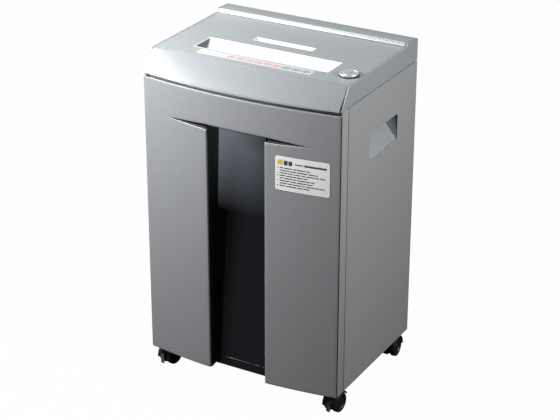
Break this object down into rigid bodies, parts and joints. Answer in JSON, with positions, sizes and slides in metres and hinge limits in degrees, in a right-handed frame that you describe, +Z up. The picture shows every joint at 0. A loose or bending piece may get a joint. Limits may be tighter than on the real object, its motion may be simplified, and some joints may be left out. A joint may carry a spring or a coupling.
{
  "type": "paper shredder",
  "caption": "Free-standing office paper shredder on casters, with a pull-out bin drawer, a smoked window, a paper feed, a disc slot and a selector knob.",
  "frame": {"origin": "on the floor, under the middle of the bounding box", "axes": "+Z up, -Y is the front where the drawer pulls out, +X is the side that the selector knob is on"},
  "size_m": [0.405, 0.325, 0.6654],
  "materials": {
    "painted_steel": "fine silver-grey metallic paint, satin",
    "painted_plastic": "silver-grey metallic paint over plastic, satin",
    "head_plastic": "light silver paint over plastic, satin",
    "white_plastic": "white, semi-gloss",
    "black_plastic": "black, satin",
    "smoked_acrylic": "smoked clear acrylic, gloss",
    "bin_plastic": "dark grey, matt",
    "zinc_steel": "zinc-plated steel",
    "tool_steel": "ground tool steel, oiled",
    "gear_steel": "sintered gear steel",
    "bright_trim": "bright satin silver",
    "circuit_board": "green solder mask",
    "wheel_nylon": "black nylon, satin"
  },
  "bodies": {
    "cabinet": {"back_panel": "painted_steel", "base_pan": "painted_steel", "comb_front": "zinc_steel", "comb_rear": "zinc_steel", "control_board": "circuit_board", "cord_gland": "black_plastic", "disc_chute": "white_plastic", "drawer_switch": "black_plastic", "feed_throat": "white_plastic", "front_frame": "painted_plastic", "head_fascia": "head_plastic", "ledge_trim": "bright_trim", "left_cutter_plate": "zinc_steel", "left_grip_cup": "head_plastic", "left_head_cheek": "head_plastic", "left_rail": "zinc_steel", "left_side_panel": "painted_steel", "mech_deck": "zinc_steel", "motor": "zinc_steel", "paper_sensor": "black_plastic", "right_cutter_plate": "zinc_steel", "right_grip_cup": "head_plastic", "right_head_cheek": "head_plastic", "right_rail": "zinc_steel", "right_side_panel": "painted_steel", "rotary_switch": "black_plastic", "tie_bar_front": "zinc_steel", "tie_bar_rear": "zinc_steel", "top_cover": "head_plastic"},
    "drawer": {"drawer_front": "painted_plastic", "bin_window": "smoked_acrylic", "waste_bin": "bin_plastic", "disc_tray": "bin_plastic", "left_runner": "zinc_steel", "right_runner": "zinc_steel"},
    "knob": {"control_knob": "bright_trim"},
    "cutter_front": {"cutter_shaft_front": "tool_steel", "sync_gear_front": "gear_steel"},
    "cutter_rear": {"cutter_shaft_rear": "tool_steel", "sync_gear_rear": "gear_steel"},
    "idler": {"idler_gear": "gear_steel"},
    "pinion": {"motor_pinion": "gear_steel"},
    "caster_front_left": {"caster_hood_front_left": "black_plastic", "caster_axle_front_left": "zinc_steel"},
    "wheel_front_left_inner": {"caster_wheel_front_left_inner": "wheel_nylon"},
    "wheel_front_left_outer": {"caster_wheel_front_left_outer": "wheel_nylon"},
    "brake_front_left": {"brake_lever_front_left": "head_plastic"},
    "caster_front_right": {"caster_hood_front_right": "black_plastic", "caster_axle_front_right": "zinc_steel"},
    "wheel_front_right_inner": {"caster_wheel_front_right_inner": "wheel_nylon"},
    "wheel_front_right_outer": {"caster_wheel_front_right_outer": "wheel_nylon"},
    "brake_front_right": {"brake_lever_front_right": "head_plastic"},
    "caster_rear_left": {"caster_hood_rear_left": "black_plastic", "caster_axle_rear_left": "zinc_steel"},
    "wheel_rear_left_inner": {"caster_wheel_rear_left_inner": "wheel_nylon"},
    "wheel_rear_left_outer": {"caster_wheel_rear_left_outer": "wheel_nylon"},
    "caster_rear_right": {"caster_hood_rear_right": "black_plastic", "caster_axle_rear_right": "zinc_steel"},
    "wheel_rear_right_inner": {"caster_wheel_rear_right_inner": "wheel_nylon"},
    "wheel_rear_right_outer": {"caster_wheel_rear_right_outer": "wheel_nylon"}
  },
  "joints": [
    {"name": "drawer_slide", "type": "slide", "parent": "cabinet", "child": "drawer", "axis": [0, -1, 0], "range_m": [0, 0.22]},
    {"name": "knob_turn", "type": "hinge", "parent": "cabinet", "child": "knob", "pos_m": [0.176, -0.0635, 0.657], "axis": [0, 0, 1], "range_deg": [-45, 45]},
    {"name": "cutter_rear_spin", "type": "hinge", "parent": "cabinet", "child": "cutter_rear", "pos_m": [0, -0.0245, 0.598], "axis": [1, 0, 0], "continuous": true},
    {"name": "cutter_front_spin", "type": "hinge", "parent": "cabinet", "child": "cutter_front", "pos_m": [0, -0.0665, 0.598], "axis": [1, 0, 0], "continuous": true},
    {"name": "idler_spin", "type": "hinge", "parent": "cabinet", "child": "idler", "pos_m": [-0.129, 0.02275, 0.598], "axis": [1, 0, 0], "continuous": true},
    {"name": "pinion_spin", "type": "hinge", "parent": "cabinet", "child": "pinion", "pos_m": [-0.129, 0.0595, 0.598], "axis": [1, 0, 0], "continuous": true},
    {"name": "caster_front_left_swivel", "type": "hinge", "parent": "cabinet", "child": "caster_front_left", "pos_m": [-0.182, -0.0875, 0.05], "axis": [0, 0, 1], "continuous": true},
    {"name": "wheel_front_left_inner_spin", "type": "hinge", "parent": "caster_front_left", "child": "wheel_front_left_inner", "pos_m": [-0.18395, -0.10338, 0.01975], "axis": [0.9925, -0.1219, 0], "continuous": true},
    {"name": "wheel_front_left_outer_spin", "type": "hinge", "parent": "caster_front_left", "child": "wheel_front_left_outer", "pos_m": [-0.18395, -0.10338, 0.01975], "axis": [0.9925, -0.1219, 0], "continuous": true},
    {"name": "brake_front_left_tilt", "type": "hinge", "parent": "caster_front_left", "child": "brake_front_left", "pos_m": [-0.18698, -0.12806, 0.028], "axis": [-0.9925, 0.1219, 0], "range_deg": [0, 25]},
    {"name": "caster_front_right_swivel", "type": "hinge", "parent": "cabinet", "child": "caster_front_right", "pos_m": [0.182, -0.0875, 0.05], "axis": [0, 0, 1], "continuous": true},
    {"name": "wheel_front_right_inner_spin", "type": "hinge", "parent": "caster_front_right", "child": "wheel_front_right_inner", "pos_m": [0.18116, -0.10348, 0.01975], "axis": [0.9986, -0.0523, 0], "continuous": true},
    {"name": "wheel_front_right_outer_spin", "type": "hinge", "parent": "caster_front_right", "child": "wheel_front_right_outer", "pos_m": [0.18116, -0.10348, 0.01975], "axis": [0.9986, -0.0523, 0], "continuous": true},
    {"name": "brake_front_right_tilt", "type": "hinge", "parent": "caster_front_right", "child": "brake_front_right", "pos_m": [0.17986, -0.12831, 0.028], "axis": [-0.9986, 0.0523, 0], "range_deg": [0, 25]},
    {"name": "caster_rear_left_swivel", "type": "hinge", "parent": "cabinet", "child": "caster_rear_left", "pos_m": [-0.182, 0.1215, 0.05], "axis": [0, 0, 1], "continuous": true},
    {"name": "wheel_rear_left_inner_spin", "type": "hinge", "parent": "caster_rear_left", "child": "wheel_rear_left_inner", "pos_m": [-0.18088, 0.13746, 0.01975], "axis": [-0.9976, 0.0698, 0], "continuous": true},
    {"name": "wheel_rear_left_outer_spin", "type": "hinge", "parent": "caster_rear_left", "child": "wheel_rear_left_outer", "pos_m": [-0.18088, 0.13746, 0.01975], "axis": [-0.9976, 0.0698, 0], "continuous": true},
    {"name": "caster_rear_right_swivel", "type": "hinge", "parent": "cabinet", "child": "caster_rear_right", "pos_m": [0.182, 0.1215, 0.05], "axis": [0, 0, 1], "continuous": true},
    {"name": "wheel_rear_right_inner_spin", "type": "hinge", "parent": "caster_rear_right", "child": "wheel_rear_right_inner", "pos_m": [0.18116, 0.13748, 0.01975], "axis": [-0.9986, -0.0523, 0], "continuous": true},
    {"name": "wheel_rear_right_outer_spin", "type": "hinge", "parent": "caster_rear_right", "child": "wheel_rear_right_outer", "pos_m": [0.18116, 0.13748, 0.01975], "axis": [-0.9986, -0.0523, 0], "continuous": true}
  ],
  "couplings": [
    {"joint": "cutter_front_spin", "follows": "cutter_rear_spin", "ratio": -1},
    {"joint": "idler_spin", "follows": "cutter_rear_spin", "ratio": -0.8},
    {"joint": "pinion_spin", "follows": "cutter_rear_spin", "ratio": 2}
  ]
}
